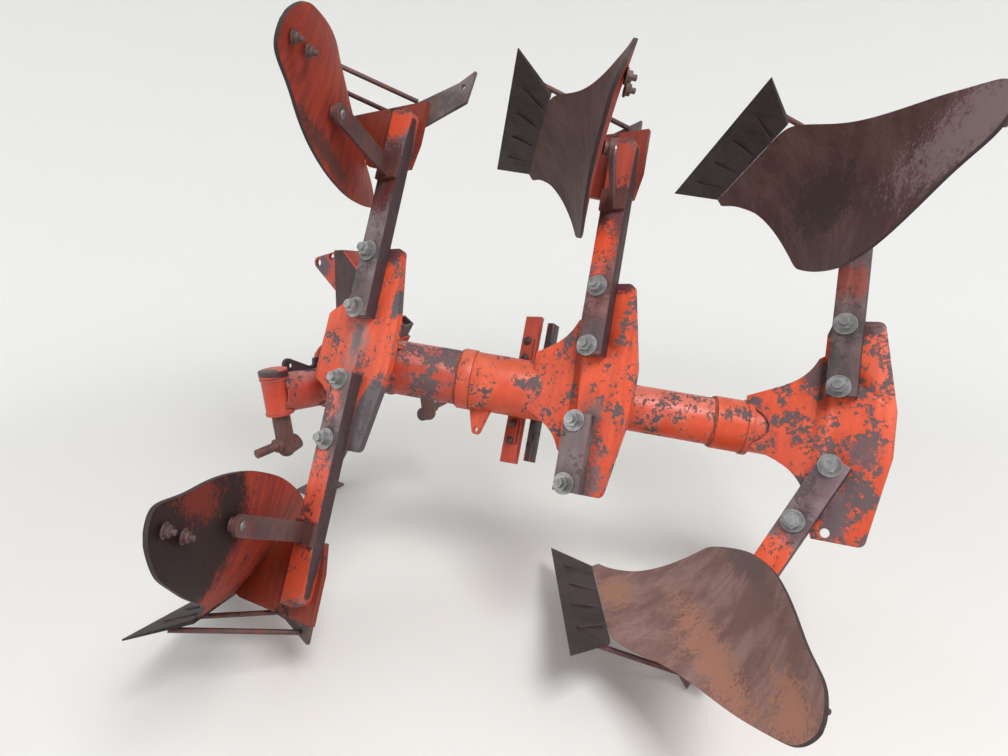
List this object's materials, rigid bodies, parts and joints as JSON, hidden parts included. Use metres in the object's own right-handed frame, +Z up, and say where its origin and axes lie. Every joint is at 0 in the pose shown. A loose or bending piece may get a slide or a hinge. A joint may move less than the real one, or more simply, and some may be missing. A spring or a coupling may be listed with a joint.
{
  "type": "mounted reversible mouldboard plough",
  "caption": "Mounted reversible mouldboard plough on a round diagonal beam, with flat legs on plates, upper and lower bodies, a turnover headstock and a parking leg.",
  "frame": {"origin": "centre of the bounding box at floor level, under the parked plough", "axes": "+X forwards to the tractor, +Y to the plough's left, +Z up from the floor"},
  "size_m": [2.3197, 1.9547, 1.802],
  "materials": {
    "board": "rusty polished steel",
    "share": "dark worn steel",
    "frog": "worn dark paint",
    "landside": "bare worn steel",
    "stays": "worn orange-red paint",
    "bolts": "zinc plated",
    "legs": "worn purple-grey paint over steel",
    "plates": "chipped orange-red paint",
    "dark_steel": "dark grimy steel",
    "headstock_paint": "worn red paint",
    "beam_paint": "faded orange-red paint"
  },
  "bodies": {
    "headstock": {"bearing_housing": "headstock_paint", "cross_tube": "headstock_paint", "hitch_sleeves": "headstock_paint", "hitch_cranks": "dark_steel", "mast_post": "headstock_paint", "mast_cheeks": "dark_steel", "mast_back": "headstock_paint", "nose_plates": "headstock_paint", "lug_plate": "dark_steel", "park_sleeve": "headstock_paint", "park_clamp": "dark_steel"},
    "beam": {"turnover_shaft": "dark_steel", "turnover_arm": "beam_paint", "front_tube": "beam_paint", "collar_ring": "beam_paint", "beam_sleeve": "beam_paint", "rear_tube": "beam_paint", "neck_sleeve": "beam_paint", "beam_lug": "beam_paint", "saddles": "beam_paint", "plate_1": "plates", "plate_2": "plates", "plate_3": "plates", "stop_bars": "beam_paint", "upper_leg_1": "legs", "upper_leg_2": "legs", "upper_leg_3": "legs", "lower_leg_1": "legs", "lower_leg_stub_2": "legs", "leg_bolts": "bolts", "upper_moldboard_1": "board", "upper_moldboard_2": "board", "upper_moldboard_3": "board", "lower_moldboard_1": "board", "upper_share_1": "share", "upper_share_2": "share", "upper_share_3": "share", "lower_share_1": "share", "upper_frog_1": "frog", "upper_frog_2": "frog", "upper_frog_3": "frog", "lower_frog_1": "frog", "upper_landside_1": "landside", "upper_landside_2": "landside", "upper_landside_3": "landside", "lower_landside_1": "landside", "upper_stays_1": "stays", "upper_stays_2": "stays", "upper_stays_3": "stays", "lower_stays_1": "stays"},
    "rear_lower_leg": {"lower_leg_3": "legs", "trip_bolt": "bolts", "lower_moldboard_3": "board", "lower_share_3": "share", "lower_frog_3": "frog", "lower_landside_3": "landside", "lower_stays_3": "stays"},
    "parking_leg": {"park_leg": "dark_steel", "park_shoe": "dark_steel"}
  },
  "joints": [
    {"name": "turnover", "type": "hinge", "parent": "headstock", "child": "beam", "pos_m": [0.39582, -0.11807, 0.75175], "axis": [0.9953, 0, -0.0965], "range_deg": [-19.3, 160.7]},
    {"name": "rear_leg_trip", "type": "hinge", "parent": "beam", "child": "rear_lower_leg", "pos_m": [-0.95523, -0.32315, 0.6509], "axis": [0.0458, 0.8805, 0.4719], "range_deg": [-20, 60]},
    {"name": "parking_leg_slide", "type": "slide", "parent": "headstock", "child": "parking_leg", "axis": [-0.5495, 0, 0.8355], "range_m": [0, 0.4]}
  ]
}
